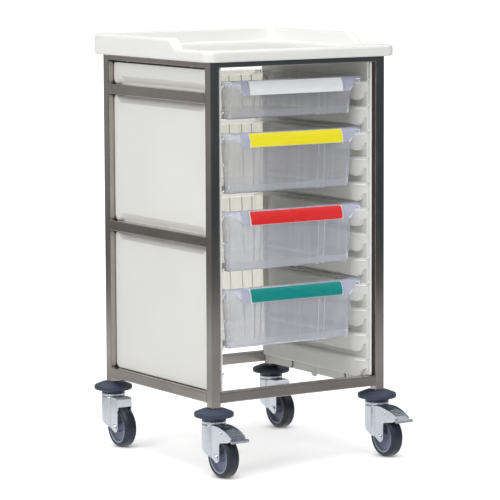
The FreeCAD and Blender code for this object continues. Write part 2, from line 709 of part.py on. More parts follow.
def grip_front(offset):
    """Top and bottom of the grip's front, moved forward by an offset."""
    top = ("tray_front - %s" % offset, "-rim_sheet / 2")
    bottom = ("tray_front - grip_reach - %s" % offset, "-grip_drop")
    return top, bottom


def make_tray(label, height):
    body = new_body(label)
    rim = new_sketch(body, label + "_rim", "XY_Plane")
    draw_rounded(rim, "-rim_half", "rim_half", "tray_front", "tray_back", "rim_corner")
    extrude(body, "Pad", rim, "rim_height", reverse=True)
    hollow = new_sketch(body, label + "_rim_hollow", "XY_Plane", "-rim_height")
    draw_rounded(hollow, "rim_sheet - rim_half", "rim_half - rim_sheet", "tray_front + rim_sheet",
                 "tray_back - rim_sheet", "rim_corner - rim_sheet")
    extrude(body, "Pocket", hollow, "rim_height - rim_sheet", reverse=True)

    # Drafted walls below the rim, then the inside.
    walls = new_sketch(body, label + "_walls", "XY_Plane", "-rim_sheet / 2")
    wall_ends = ("tray_middle - wall_half_y", "tray_middle + wall_half_y")
    draw_rounded(walls, "-wall_half_x", "wall_half_x", *wall_ends, "tray_corner")
    extrude(body, "Pad", walls, "%s - rim_sheet / 2" % height, reverse=True, draft="-tray_draft")
    inside = new_sketch(body, label + "_inside", "XY_Plane")
    draw_rounded(inside, "tray_wall - wall_half_x", "wall_half_x - tray_wall",
                 "tray_middle - wall_half_y + tray_wall", "tray_middle + wall_half_y - tray_wall",
                 "tray_corner - tray_wall")
    extrude(body, "Pocket", inside, "%s - tray_wall" % height, draft="-tray_draft")
    inside_floor = "tray_wall - %s" % height
    round_edges(body, label + "_inside_floor", lambda edge: close(edge.BoundBox.ZMax, inside_floor)
                and close(edge.BoundBox.ZMin, inside_floor), "tray_floor_round")
    round_edges(body, label + "_floor_round", lambda edge: close(edge.BoundBox.ZMax, "-(%s)" % height),
                "tray_floor_round + tray_wall")

    # Turned-down front grip with slanted ends.
    grip = new_sketch(body, label + "_grip", "YZ_Plane")
    top, bottom = grip_front("0")
    draw(grip, [
        top + ("grip_round", "left"),
        bottom,
        (bottom[0] + " + grip_sheet", bottom[1], "grip_round", "right"),
        (top[0] + " + grip_sheet", top[1]),
    ])
    extrude(body, "Pad", grip, "2 * grip_half", side="Symmetric")
    slant = new_sketch(body, label + "_grip_ends", "XZ_Plane", "-tray_front")
    for side in ("", "-"):
        draw(slant, [
            (side + "grip_half", "-rim_sheet"),
            (side + "(grip_half - grip_slant)", "-grip_drop - grip_reach"),
            (side + "(grip_half + grip_slant)", "-grip_drop - grip_reach"),
            (side + "(grip_half + grip_slant)", "-rim_sheet"),
        ])
    extrude(body, "Pocket", slant, "3 * grip_reach", reverse=True)

    # Ribs that hold dividers, along the sloping front and back walls.
    fall = "(%s - tray_wall) * tan(tray_draft)" % height
    front_ribs = ["rib_third - rib_gap / 2", "rib_third + rib_gap / 2"]
    back_ribs = ["back_rib", "back_rib + back_rib_step", "back_rib + back_rib_step + back_rib_gap"]
    for side, inward, ribs in (("-", "+", front_ribs), ("", "-", back_ribs)):
        wall = "tray_middle + %s(wall_half_y - tray_wall / 2)" % side
        foot = "tray_middle + %s(wall_half_y - tray_wall / 2 - %s)" % (side, fall)
        depth = "%s (rib_depth + tray_wall / 2)" % inward
        for rib in ribs:
            for hand in ("", "-"):
                across = new_sketch(body, label + "_rib", "YZ_Plane", "%s(%s)" % (hand, rib))
                draw(across, [
                    (wall, "-rim_height"),
                    (foot, "tray_wall / 2 - %s" % height),
                    ("%s %s" % (foot, depth), "tray_wall / 2 - %s" % height),
                    ("%s %s" % (wall, depth), "-rim_height"),
                ])
                extrude(body, "Pad", across, "rib_width", side="Symmetric")
    return body


def make_label(label):
    body = new_body(label)
    strip = new_sketch(body, label + "_strip", "YZ_Plane")
    top, bottom = grip_front("0")
    front_top, front_bottom = grip_front("label_sheet")
    draw(strip, [
        front_top + ("grip_round", "left"),
        front_bottom,
        bottom + ("grip_round", "right"),
        top,
    ])
    extrude(body, "Pad", strip, "label_width", side="Symmetric")
    return body


def make_trays():
    for name, height, runner in (
        ("shallow", "shallow_height", "runner_count - 1"),
        ("upper", "deep_height", "runner_count - 3"),
        ("middle", "deep_height", "runner_count - 6"),
        ("lower", "deep_height", "runner_count - 9"),
    ):
        top = "first_ledge + (%s) * runner_pitch + tray_lift + rim_height" % runner
        place(make_tray(name + "_tray", height), "0", "0", top)
        place(make_label(name + "_label"), "0", "0", top)


# Castors


def make_buffer(label):
    body = new_body(label)
    half = new_sketch(body, label + "_section", "XZ_Plane")
    bore = "neck_dia / 2 + screw_gap"
    draw(half, [
        (bore, "neck_bottom"),
        ("buffer_neck / 2", "neck_bottom"),
        ("buffer_neck / 2 + buffer_round", "neck_bottom + neck_height"),
        ("buffer_dia / 2", "post_bottom - buffer_fall - buffer_rim"),
        ("buffer_dia / 2", "post_bottom - buffer_fall"),
        ("buffer_crown / 2", "post_bottom"),
        (bore, "post_bottom"),
    ])
    revolve(body, half, "V_Axis")
    widest = lambda edge: close(edge.BoundBox.XMax, "buffer_dia / 2")
    round_edges(body, label + "_rim", widest, "buffer_round")
    return body


def make_stem(label):
    """Plug in the post, neck, bearing plate and riveted king pin of one castor."""
    body = new_body(label)
    half = new_sketch(body, label + "_section", "XZ_Plane")
    head_top = "crown_under - side_gap"
    draw(half, [
        ("0", head_top + " - king_head_height"),
        ("king_head / 2 - king_head_height / 2", head_top + " - king_head_height"),
        ("king_head / 2", head_top),
        ("king_dia / 2", head_top),
        ("king_dia / 2", "crown_top + side_gap"),
        ("plate_dia / 2", "crown_top + side_gap"),
        ("plate_dia / 2", "neck_bottom"),
        ("neck_dia / 2", "neck_bottom"),
        ("neck_dia / 2", "post_bottom"),
        ("0", "post_bottom"),
    ])
    revolve(body, half, "V_Axis")
    rings = lambda edge: close(edge.BoundBox.XMax, "plate_dia / 2") and edge.BoundBox.ZLength < 0.01
    round_edges(body, label + "_plate", rings, "plate_round")
    plug = new_sketch(body, label + "_plug", "XY_Plane", "post_bottom")
    side = "tube / 2 - tube_wall - plug_gap"
    draw_rectangle(plug, "-(%s)" % side, side, "-(%s)" % side, side)
    extrude(body, "Pad", plug, "plug_height")
    return body


def make_fork(label, braked):
    body = new_body(label)
    profile = new_sketch(body, label + "_side", "YZ_Plane")
    boss_back = ("boss_radius * sin(boss_lean) - trail", "wheel_radius - boss_radius * cos(boss_lean)")
    leg = [
        ("0", "crown_top"),
        ("0", boss_back[1]),
        boss_back + ("boss_radius", "right"),
        ("-fork_front", "wheel_radius"),
    ]
    if braked:
        front = [
            ("-fork_front", "cheek_low"),
            ("nose_chin - cheek_reach", "cheek_nose"),
            ("-cheek_reach", "cheek_nose + nose_rise"),
            ("-cheek_reach", "crown_top - cheek_fall", "cheek_round", "right"),
            ("-pedal_back", "crown_top"),
        ]
    else:
        front = [
            ("-fork_front", "crown_top - fork_crown / 2"),
            ("fork_crown / 2 - fork_front", "crown_top"),
        ]
    draw(profile, leg + front)
    extrude(body, "Pad", profile, "fork_width", side="Symmetric")
    if braked:
        round_edges(body, label + "_bend", lambda edge: runs_along(edge, 0)
                    and close(middle(edge).z, "cheek_low"), "cheek_bend")

    # The sheet wraps round the king pin in a barrel, cut off along the curved back.
    barrel = new_sketch(body, label + "_barrel", "XZ_Plane")
    draw(barrel, [
        ("0", boss_back[1]),
        ("fork_rear", boss_back[1]),
        ("fork_rear", "crown_top - crown_round", "crown_round", "left"),
        ("fork_rear - crown_round", "crown_top"),
        ("0", "crown_top"),
    ])
    revolve(body, barrel, "V_Axis")
    trim = new_sketch(body, label + "_trim", "YZ_Plane")
    draw(trim, [
        ("fork_rear", "fork_knee", "knee_round", "right"),
        ("fork_rear - knee_in", "fork_knee - knee_drop"),
        boss_back,
        (boss_back[0], "0"),
        ("fork_barrel", "0"),
        ("fork_barrel", "fork_knee"),
    ])
    extrude(body, "Pocket", trim, "2 * fork_barrel", side="Symmetric")

    # The wheel well leaves two cheeks, a back and, without a brake, a front apron.
    well = new_sketch(body, label + "_well", "YZ_Plane")
    back = "fork_rear - fork_sheet"
    if braked:
        roof = [
            ("fork_sheet - pedal_back", "crown_under"),
            ("fork_sheet - pedal_back", "crown_top + fork_sheet"),
            ("-cheek_reach - fork_sheet", "crown_top + fork_sheet"),
            ("-cheek_reach - fork_sheet", "0"),
        ]
    else:
        roof = [
            ("fork_sheet - fork_front", "crown_under"),
            ("fork_sheet - fork_front", "crown_top - apron_height - fork_crown"),
            ("-fork_front - fork_sheet", "crown_top - apron_height - fork_crown"),
            ("-fork_front - fork_sheet", "0"),
        ]
    draw(well, [(back, "0"), (back, "crown_under")] + roof)
    extrude(body, "Pocket", well, "2 * cheek_half", side="Symmetric")

    hollow = new_sketch(body, label + "_hollow", "XY_Plane")
    draw_circle(hollow, "0", "0", back)
    extrude(body, "Pocket", hollow, "crown_under", reverse=True)
    bore = new_sketch(body, label + "_king_bore", "XY_Plane", "crown_top")
    draw_circle(bore, "0", "0", "king_dia / 2 + pin_gap")
    extrude(body, "Pocket", bore, "2 * fork_crown")
    cross = new_sketch(body, label + "_cross_bores", "YZ_Plane")
    draw_circle(cross, "-trail", "wheel_radius", "axle_dia / 2 + pin_gap")
    if braked:
        draw_circle(cross, "-pivot_reach", "pivot_height", "pivot_dia / 2 + pin_gap")
    extrude(body, "Pocket", cross, "2 * fork_width", side="Symmetric")
    return body


def make_cross_pin(label, radius, head_radius, head_height):
    """A headed pin across the fork, along X."""
    body = new_body(label)
    half = new_sketch(body, label + "_section", "XY_Plane")
    end = "fork_width / 2"
    rounded = "%s + %s" % (end, head_height)
    draw(half, [
        ("-(%s)" % rounded, "0"),
        (rounded, "0"),
        (rounded, head_radius + " - " + head_height + " / 2"),
        ("%s + %s / 2" % (end, head_height), head_radius),
        (end, head_radius),
        (end, radius),
        ("-" + end, radius),
        ("-" + end, head_radius),
        ("-(%s + %s / 2)" % (end, head_height), head_radius),
        ("-(%s)" % rounded, head_radius + " - " + head_height + " / 2"),
    ])
    revolve(body, half, "H_Axis")
    return body


def make_hub(label):
    body = new_body(label)
    half = new_sketch(body, label + "_section", "XY_Plane")
    bore = "axle_dia / 2 + pin_gap"
    boss = "hub_boss / 2"
    side = "cheek_half - side_gap"
    rim = "hub_radius - hub_rim"
    right = [
        (side, bore),
        (side, boss + " - hub_rim / 2"),
        ("hub_web / 2", boss),
        ("hub_web / 2", rim),
        ("hub_width / 2", rim + " + hub_rim / 4"),
        ("hub_width / 2", "hub_radius"),
    ]
    left = [("-(%s)" % x, y) for x, y in reversed(right)]
    draw(half, right + left)
    revolve(body, half, "H_Axis")
    return body


def make_tyre(label):
    body = new_body(label)
    half = new_sketch(body, label + "_section", "XY_Plane")
    draw_rectangle(half, "-tyre_width / 2", "tyre_width / 2", "hub_radius", "wheel_radius")
    revolve(body, half, "H_Axis")
    tread = lambda edge: close(edge.BoundBox.YMax, "wheel_radius", 0.5)
    round_edges(body, label + "_shoulders", tread, "tyre_round")
    return body


def make_pedal(label):
    body = new_body(label)
    plate = new_sketch(body, label + "_plate", "YZ_Plane")
    nose_top = "crown_top - cheek_fall - pedal_sink"
    tip = "crown_top - cheek_fall - lip_drop"
    draw(plate, [
        ("-pedal_back", "crown_top - pedal_sink", "cheek_round", "left"),
        ("-cheek_reach", nose_top),
        ("-pedal_reach", tip),
        ("-pedal_reach", tip + " - pedal_sheet"),
        ("-cheek_reach", nose_top + " - pedal_sheet", "cheek_round", "right"),
        ("-pedal_back", "crown_top - pedal_sink - pedal_sheet"),
    ])
    extrude(body, "Pad", plate, "2 * (cheek_half - pedal_play)", side="Symmetric")

    lip = new_sketch(body, label + "_lip", "YZ_Plane")
    lip_back = "-(cheek_reach + pedal_reach) / 2"
    lip_back_top = tip + " + (lip_drop - pedal_sink) / 2"
    draw(lip, [
        (lip_back, lip_back_top),
        ("-pedal_reach", tip),
        ("-pedal_reach", tip + " - 2 * pedal_sheet"),
        (lip_back, lip_back_top + " - 2 * pedal_sheet"),
    ])
    extrude(body, "Pad", lip, "pedal_lip", side="Symmetric")

    # Round bars across the plate give the foot a hold.
    tread = new_sketch(body, label + "_tread", "YZ_Plane")
    for bar in range(int(number("tread_bars"))):
        reach = "tread_start + %d * tread_pitch" % bar
        fall = "cheek_round - sqrt(cheek_round ^ 2 - (%s - pedal_back) ^ 2)" % reach
        draw_circle(tread, "-(%s)" % reach, "crown_top - pedal_sink - (%s)" % fall, "tread_round")
    extrude(body, "Pad", tread, "shoe_width", side="Symmetric")

    # The block under the plate turns on the pivot pin and carries the shoe.
    shoe = new_sketch(body, label + "_shoe", "YZ_Plane")
    shoe_y = "-trail - (wheel_radius + shoe_gap) * cos(45)"
    shoe_z = "wheel_radius + (wheel_radius + shoe_gap) * sin(45)"
    draw(shoe, [
        ("pivot_dia - pivot_reach", "crown_top - pedal_sink - pedal_sheet"),
        ("pivot_dia - pivot_reach", "pivot_height - pivot_dia"),
        ("-pivot_reach - pivot_dia / 2", "pivot_height - 1.5 * pivot_dia"),
        (shoe_y, shoe_z),
        (shoe_y + " - 1.5 * pivot_dia", shoe_z + " + pivot_dia"),
        (shoe_y, "crown_top - cheek_fall / 2 - pedal_sink"),
    ])
    extrude(body, "Pad", shoe, "shoe_width", side="Symmetric")
    bore = new_sketch(body, label + "_bore", "YZ_Plane")
    draw_circle(bore, "-pivot_reach", "pivot_height", "pivot_dia / 2 + pin_gap")
    extrude(body, "Pocket", bore, "2 * fork_width", side="Symmetric")
    return body


def make_castor(name, x, y, braked):
    place(make_buffer(name + "_buffer"), x, y, "0")
    place(make_stem(name + "_castor_stem"), x, y, "0")
    place(make_fork(name + "_fork", braked), x, y, "0")
    axle = make_cross_pin(name + "_axle", "axle_dia / 2", "axle_head / 2", "axle_head_height")
    wheel_y = "%s - trail" % y
    place(axle, x, wheel_y, "wheel_radius")
    place(make_hub(name + "_hub"), x, wheel_y, "wheel_radius")
    place(make_tyre(name + "_tyre"), x, wheel_y, "wheel_radius")
    if braked:
        place(make_pedal(name + "_brake_pedal"), x, y, "0")
        pin = make_cross_pin(name + "_brake_pin", "pivot_dia / 2", "pivot_head / 2", "pivot_head_height")
        place(pin, x, "%s - pivot_reach" % y, "pivot_height")


def make_castors():
    for end, y in (("front", "-stem_y"), ("rear", "stem_y")):
        for hand, x in (("left", "-stem_x"), ("right", "stem_x")):
            make_castor("%s_%s" % (end, hand), x, y, end == "front")


def write_parts():
    """Check every object, then write one file for each piece."""
    doc.recompute()
    for item in doc.Objects:
        if "Invalid" in item.State or "Error" in item.State:
            raise RuntimeError("%s failed: %s" % (item.Label, item.State))
    for piece in pieces:
        if piece.Shape.isNull() or not piece.Shape.isValid():
            raise RuntimeError("%s has no valid shape" % piece.Label)
    os.makedirs("parts", exist_ok=True)
    for piece in pieces:
        piece.Shape.exportStep("parts/%s.step" % piece.Label)
        print("%-28s %9.0f mm3 %d solids" % (piece.Label, piece.Shape.Volume, len(piece.Shape.Solids)))
    print("%d pieces" % len(pieces))


make_frame()
make_worktop()
make_worktop_screws()
make_panels()
make_trays()
make_castors()
write_parts()
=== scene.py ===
import math

import bpy
from mathutils import Matrix, Vector


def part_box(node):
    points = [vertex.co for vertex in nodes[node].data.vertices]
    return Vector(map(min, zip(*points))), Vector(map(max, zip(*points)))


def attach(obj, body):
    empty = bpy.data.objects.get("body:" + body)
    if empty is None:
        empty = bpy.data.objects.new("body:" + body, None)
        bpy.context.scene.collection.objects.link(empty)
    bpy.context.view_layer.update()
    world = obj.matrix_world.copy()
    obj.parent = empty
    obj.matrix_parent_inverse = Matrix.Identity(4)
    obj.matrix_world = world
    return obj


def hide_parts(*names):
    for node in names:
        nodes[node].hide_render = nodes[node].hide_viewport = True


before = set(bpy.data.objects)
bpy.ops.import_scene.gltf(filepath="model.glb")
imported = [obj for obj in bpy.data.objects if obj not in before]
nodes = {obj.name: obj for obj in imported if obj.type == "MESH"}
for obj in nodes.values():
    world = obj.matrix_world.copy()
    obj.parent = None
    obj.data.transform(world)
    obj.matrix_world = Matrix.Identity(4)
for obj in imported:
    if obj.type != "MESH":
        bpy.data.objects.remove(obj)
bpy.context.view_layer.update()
corners = ["front_left", "front_right", "rear_left", "rear_right"]
trays = ["shallow", "upper", "middle", "lower"]
print("frame loaded,", len(nodes), "nodes")


# helpers for materials

def newMaterial(name, tint, roughness=0.5, metallic=0.0, specular=0.5):
    material = bpy.data.materials.new(name)
    material.use_nodes = True
    shader = material.node_tree.nodes["Principled BSDF"]
    shader.inputs["Base Color"].default_value = (*tint, 1.0)
    shader.inputs["Roughness"].default_value = roughness
    shader.inputs["Metallic"].default_value = metallic
    shader.inputs["Specular IOR Level"].default_value = specular
    return material, material.node_tree, shader


def grain(tree, scale, detail=3.0, stretch=(1, 1, 1)):  # noise on object coordinates
    place = tree.nodes.new("ShaderNodeTexCoord")
    mapping = tree.nodes.new("ShaderNodeMapping")
    mapping.inputs["Scale"].default_value = stretch
    noise = tree.nodes.new("ShaderNodeTexNoise")
    noise.inputs["Scale"].default_value = scale
    noise.inputs["Detail"].default_value = detail
    tree.links.new(place.outputs["Object"], mapping.inputs["Vector"])
    tree.links.new(mapping.outputs["Vector"], noise.inputs["Vector"])
    return noise.outputs["Fac"]


def spread(tree, source, low, high, fromLow=0.3, fromHigh=0.7):  # the default span suits noise
    node = tree.nodes.new("ShaderNodeMapRange")
    node.inputs["From Min"].default_value = fromLow
    node.inputs["From Max"].default_value = fromHigh
    node.inputs["To Min"].default_value = low
    node.inputs["To Max"].default_value = high
    tree.links.new(source, node.inputs["Value"])
    return node.outputs["Result"]


def tintBetween(tree, source, first, second):
    node = tree.nodes.new("ShaderNodeMix")
    node.data_type = "RGBA"
    node.inputs["A"].default_value = (*first, 1.0)
    node.inputs["B"].default_value = (*second, 1.0)
    tree.links.new(source, node.inputs["Factor"])
    return node.outputs["Result"]


def shade(tint, factor):
    return tuple(min(1.0, channel * factor) for channel in tint)


def shaded(finish, factor):
    return dict(finish, tint=shade(finish["tint"], factor))


def mottle(tree, shader, source, tint, tones):  # base colour that drifts between two shades of a tint
    first, second = [shade(tint, tone) for tone in tones]
    tree.links.new(tintBetween(tree, spread(tree, source, 0.0, 1.0), first, second), shader.inputs["Base Color"])


def roughen(tree, shader, source, limits):
    tree.links.new(spread(tree, source, *limits), shader.inputs["Roughness"])


def addBump(tree, shader, source, strength, distance):
    node = tree.nodes.new("ShaderNodeBump")
    node.inputs["Strength"].default_value = strength
    node.inputs["Distance"].default_value = distance
    tree.links.new(source, node.inputs["Height"])
    tree.links.new(node.outputs["Normal"], shader.inputs["Normal"])


# satin stainless tube, brushed along its length; the front foot rail's steel is darkened, a painted shade where it
# stands in shade
steel = {"tint": (0.44, 0.415, 0.39), "roughness": (0.15, 0.23), "streak": 420, "streakDetail": 4.0,
         "streakStretch": 0.012, "cloud": 9.0, "cloudDetail": 2.0, "tones": (0.92, 1.06), "bump": 0.05,
         "bumpDepth": 0.0004, "footRailShade": 0.80}


def brushedSteel(name, axis, depth=1.0):
    tint = shade(steel["tint"], depth)
    material, tree, shader = newMaterial(name, tint, metallic=1.0)
    stretch = [1.0, 1.0, 1.0]
    stretch[axis] = steel["streakStretch"]
    streaks = grain(tree, steel["streak"], steel["streakDetail"], stretch)
    mottle(tree, shader, grain(tree, steel["cloud"], steel["cloudDetail"]), tint, steel["tones"])
    roughen(tree, shader, streaks, steel["roughness"])
    addBump(tree, shader, streaks, steel["bump"], steel["bumpDepth"])
    return material


# plastics, rubbers and zinc: a soft cloud in tint and roughness, and a fine grain in relief
commonFinish = {"metallic": 0.0, "cloud": 6.0, "cloudDetail": 3.0, "cloudStretch": (1, 1, 1),
                "tones": (0.985, 1.01), "grainDetail": 2.0, "bumpDepth": 0.0002}
worktopPlastic = {"tint": (0.84, 0.84, 0.825), "roughness": (0.30, 0.42), "grain": 900, "bump": 0.05}
panelPlastic = {"tint": (0.80, 0.80, 0.765), "roughness": (0.28, 0.40), "grain": 1300, "bump": 0.08}
# painted highlight: a whiter plastic for the runner lips, the lead-in beads and the panel edges
highlightPlastic = {"tint": (0.96, 0.96, 0.95), "roughness": (0.10, 0.16), "grain": 900, "bump": 0.02}
holderPlastic = {"tint": (0.80, 0.81, 0.84), "roughness": (0.15, 0.25), "grain": 600, "bump": 0.03}
labelPlastic = {"roughness": (0.22, 0.34), "cloud": 25.0, "cloudStretch": (0.2, 1, 1), "tones": (0.96, 1.03),
                "grain": 700.0, "grainDetail": 3.0, "bump": 0.03}
bufferRubber = {"tint": (0.040, 0.053, 0.090), "roughness": (0.38, 0.55), "grain": 1100, "bump": 0.12}
tyreRubber = {"tint": (0.014, 0.019, 0.037), "roughness": (0.34, 0.48), "grain": 900, "bump": 0.12}
hubPlastic = {"tint": (0.21, 0.235, 0.33), "roughness": (0.35, 0.50), "grain": 1300, "bump": 0.06}
# painted highlight: a paler plastic for the raised rings on the hub rims
hubRimHighlight = {"tint": (0.46, 0.48, 0.58), "roughness": (0.30, 0.42), "grain": 1300, "bump": 0.05}
zinc = {"tint": (0.66, 0.70, 0.76), "metallic": 1.0, "roughness": (0.20, 0.26), "cloud": 70.0, "cloudDetail": 4.0,
        "tones": (0.94, 1.05), "grain": 160, "grainDetail": 3.0, "bump": 0.006, "bumpDepth": 0.0004}
# painted shade: the pedals' zinc is darkened, standing in for the dark reflection on the pedal tops
pedalPaintedShade = 0.66
# painted shade: the rear right castor's buffer and tyre are darkened where the trolley shades them
rearRightShade = {"buffer": 0.4, "tyre": 0.5}


def grainedFinish(name, finish):
    finish = {**commonFinish, **finish}
    material, tree, shader = newMaterial(name, finish["tint"], metallic=finish["metallic"])
    cloud = grain(tree, finish["cloud"], finish["cloudDetail"], finish["cloudStretch"])
    mottle(tree, shader, cloud, finish["tint"], finish["tones"])
    roughen(tree, shader, cloud, finish["roughness"])
    fine = grain(tree, finish["grain"], finish["grainDetail"])
    addBump(tree, shader, fine, finish["bump"], finish["bumpDepth"])
    return material


# clear tray plastic, which lets lamps through to what is behind it; each zone of a tray has its own haze
clearPlastic = {"roughness": (0.02, 0.05), "haze": 14, "shadowTint": (0.96, 0.965, 0.975),
                "sheenTint": (0.45, 0.50, 1.0), "sheenRoughness": 0.6, "streak": 130, "streakDetail": 2.0,
                "streakStretch": (1, 1, 0.02), "streakTones": (0.955, 1.06)}
trayFinishes = {
    "wall": {"tint": (0.772, 0.775, 0.788), "clear": 0.75, "sheen": 0.40, "ior": 1.5},
    "foot": {"tint": (0.79, 0.80, 0.835), "clear": 0.72, "sheen": 0.42, "ior": 1.5},
    "side": {"tint": (0.98, 0.97, 0.94), "clear": 0.95, "sheen": 0.05, "ior": 1.2},
    "back": {"tint": (0.67, 0.665, 0.588), "clear": 0.80, "sheen": 0.1, "ior": 1.3},
    "rim": {"tint": (0.68, 0.70, 0.79), "clear": 0.66, "sheen": 0.2, "ior": 1.4},
    "edge": {"tint": (0.85, 0.855, 0.90), "clear": 0.80, "sheen": 0.15, "ior": 1.12},
    "sideRim": {"tint": (0.98, 0.97, 0.945), "clear": 0.88, "sheen": 0.05, "ior": 1.08},
    "floor": {"tint": (0.92, 0.91, 0.88), "clear": 0.93, "sheen": 0.0, "ior": 1.5},
    "rib": {"tint": (0.70, 0.70, 0.74), "clear": 0.25, "sheen": 0.0, "ior": 1.5},
    # painted highlight: a whiter, less clear plastic for the ribs on the right of the front wall and for the grip
    # glints
    "paintedGlint": {"tint": (0.92, 0.92, 0.94), "clear": 0.1, "sheen": 0.0, "ior": 1.5},
}
zoneNames = list(trayFinishes)

# the upper trays stand in the worktop's shade, which shows on their wall and foot
trayTones = {"shallow": (0.925, 0.920, 0.890), "upper": (0.970, 0.965, 0.945), "middle": (0.995, 0.995, 1.0),
             "lower": (1.02, 1.02, 1.03)}


def clearSheet(name, finish, tone):
    tint = tuple(channel * factor for channel, factor in zip(finish["tint"], tone))
    material, tree, shader = newMaterial(name, tint)
    shader.inputs["Transmission Weight"].default_value = finish["clear"]
    shader.inputs["IOR"].default_value = finish["ior"]
    shader.inputs["Sheen Weight"].default_value = finish["sheen"]
    shader.inputs["Sheen Roughness"].default_value = clearPlastic["sheenRoughness"]
    shader.inputs["Sheen Tint"].default_value = (*clearPlastic["sheenTint"], 1.0)
    streaks = grain(tree, clearPlastic["streak"], clearPlastic["streakDetail"], clearPlastic["streakStretch"])
    mottle(tree, shader, streaks, tint, clearPlastic["streakTones"])
    roughen(tree, shader, grain(tree, clearPlastic["haze"]), clearPlastic["roughness"])
    through = tree.nodes.new("ShaderNodeBsdfTransparent")
    through.inputs["Color"].default_value = (*clearPlastic["shadowTint"], 1.0)
    path = tree.nodes.new("ShaderNodeLightPath")
    mix = tree.nodes.new("ShaderNodeMixShader")
    tree.links.new(path.outputs["Is Shadow Ray"], mix.inputs["Fac"])
    tree.links.new(shader.outputs["BSDF"], mix.inputs[1])
    tree.links.new(through.outputs["BSDF"], mix.inputs[2])
    tree.links.new(mix.outputs["Shader"], tree.nodes["Material Output"].inputs["Surface"])
    return material


trayMaterials = {}
for tray in trays:
    trayMaterials[tray] = {}
    for zone in zoneNames:
        tone = trayTones[tray] if zone in ("wall", "foot") else (1, 1, 1)
        trayMaterials[tray][zone] = clearSheet(tray + zone.capitalize(), trayFinishes[zone], tone)


def dress(material, *names):
    for name in names:
        mesh = nodes[name].data
        mesh.materials.clear()
        mesh.materials.append(material)


# the slopes of the panels' pockets, above and below a rail, carry painted light and shade apart from the flat
# fields: the slope that faces up, below a rail, is darkened as the rail's painted shadow, and the slope that faces
# down, above a rail, is lightened
pocketPaintedLight = {"faceUpShaded": 0.79, "faceDownLit": 1.12}
slopeFacing = 0.25


def dressPockets(side, hand):  # the slopes' materials come after the panel's own
    mesh = nodes[side + "_side_panel"].data
    for way, tone in pocketPaintedLight.items():
        mesh.materials.append(grainedFinish(side + way.capitalize(), shaded(panelPlastic, tone)))
    for face in mesh.polygons:
        if face.normal.x * hand > slopeFacing and abs(face.normal.z) > slopeFacing:
            face.material_index = 1 if face.normal.z > 0 else 2


panelFinish = grainedFinish("panelCream", panelPlastic)
highlightFinish = grainedFinish("highlightWhite", highlightPlastic)
bufferFinish = grainedFinish("bufferRubber", bufferRubber)
tyreFinish = grainedFinish("tyreRubber", tyreRubber)
hubFinish = grainedFinish("hubPlastic", hubPlastic)
hubRingHighlightFinish = grainedFinish("hubRimHighlight", hubRimHighlight)
zincFinish = grainedFinish("zincPlate", zinc)
rails = [name for name in nodes if name.endswith("_rail")]
dress(brushedSteel("uprightSteel", 2), *[name for name in nodes if name.startswith("post_")])
dress(brushedSteel("acrossSteel", 0), *[name for name in rails if name.startswith(("front_", "rear_"))])
dress(brushedSteel("alongSteel", 1), *[name for name in rails if name.startswith(("left_", "right_"))])
# painted shade: the front foot rail gets a darker copy of the steel
dress(brushedSteel("footRailSteel", 0, steel["footRailShade"]), "front_bottom_rail")
dress(grainedFinish("worktopWhite", worktopPlastic), "worktop")
dress(panelFinish, "left_side_panel", "right_side_panel")
dressPockets("left", -1)
dressPockets("right", 1)
dress(grainedFinish("labelHolder", holderPlastic), *[tray + "_label" for tray in trays])
dress(zincFinish, "worktop_screws", "front_left_brake_pin", "front_right_brake_pin")
dress(grainedFinish("pedalShadedZinc", shaded(zinc, pedalPaintedShade)), "front_left_brake_pedal", "front_right_brake_pedal")
for corner in corners:
    dress(bufferFinish, corner + "_buffer")
    dress(tyreFinish, corner + "_tyre")
    dress(hubFinish, corner + "_hub")
    dress(zincFinish, corner + "_castor_stem", corner + "_fork", corner + "_axle")
# painted shade on the rear right castor's buffer and tyre
dress(grainedFinish("shadedBuffer", shaded(bufferRubber, rearRightShade["buffer"])), "rear_right_buffer")
dress(grainedFinish("shadedTyre", shaded(tyreRubber, rearRightShade["tyre"])), "rear_right_tyre")
print("finishes on the solids")


# helpers for shapes
mergeDistance = 0.00001
beadSmooth = math.radians(50)


def freshPiece(name, mesh):  # a new object, alone selected, ready for edit mode
    piece = bpy.data.objects.new(name, mesh)
    bpy.context.scene.collection.objects.link(piece)
    bpy.ops.object.select_all(action="DESELECT")
    piece.select_set(True)
    bpy.context.view_layer.objects.active = piece
    return piece


def pick(piece, wanted):  # selects the vertices whose place is wanted, and leaves edit mode on
    bpy.ops.object.mode_set(mode="EDIT")
    bpy.ops.mesh.select_mode(type="VERT")
    bpy.ops.mesh.select_all(action="DESELECT")
    bpy.ops.object.mode_set(mode="OBJECT")
    for vertex in piece.data.vertices:
        vertex.select = wanted(vertex.co)
    bpy.ops.object.mode_set(mode="EDIT")


def openRing(name, radius, place, turn, sides):  # a ring of edges in edit mode, all selected
    bpy.ops.object.select_all(action="DESELECT")
    bpy.ops.mesh.primitive_circle_add(vertices=sides, radius=radius, location=place, rotation=turn)
    piece = bpy.context.object
    piece.name = name
    bpy.ops.object.transform_apply(location=True, rotation=True)
    bpy.ops.object.mode_set(mode="EDIT")
    bpy.ops.mesh.select_all(action="SELECT")
    return piece


def closeTube():  # caps the tube, turns its faces outwards and leaves edit mode
    bpy.ops.mesh.select_all(action="SELECT")
    bpy.ops.mesh.fill_holes(sides=0)
    bpy.ops.mesh.select_all(action="SELECT")
    bpy.ops.mesh.normals_make_consistent(inside=False)
    bpy.ops.object.mode_set(mode="OBJECT")


def turnedBead(name, radius, place, turn, sides, axis, sweep, steps, about):
    piece = openRing(name, radius, place, turn, sides)
    bpy.ops.mesh.spin(steps=steps, angle=sweep, center=axis, axis=about)
    bpy.ops.mesh.select_all(action="SELECT")
    bpy.ops.mesh.remove_doubles(threshold=mergeDistance)
    closeTube()
    return piece


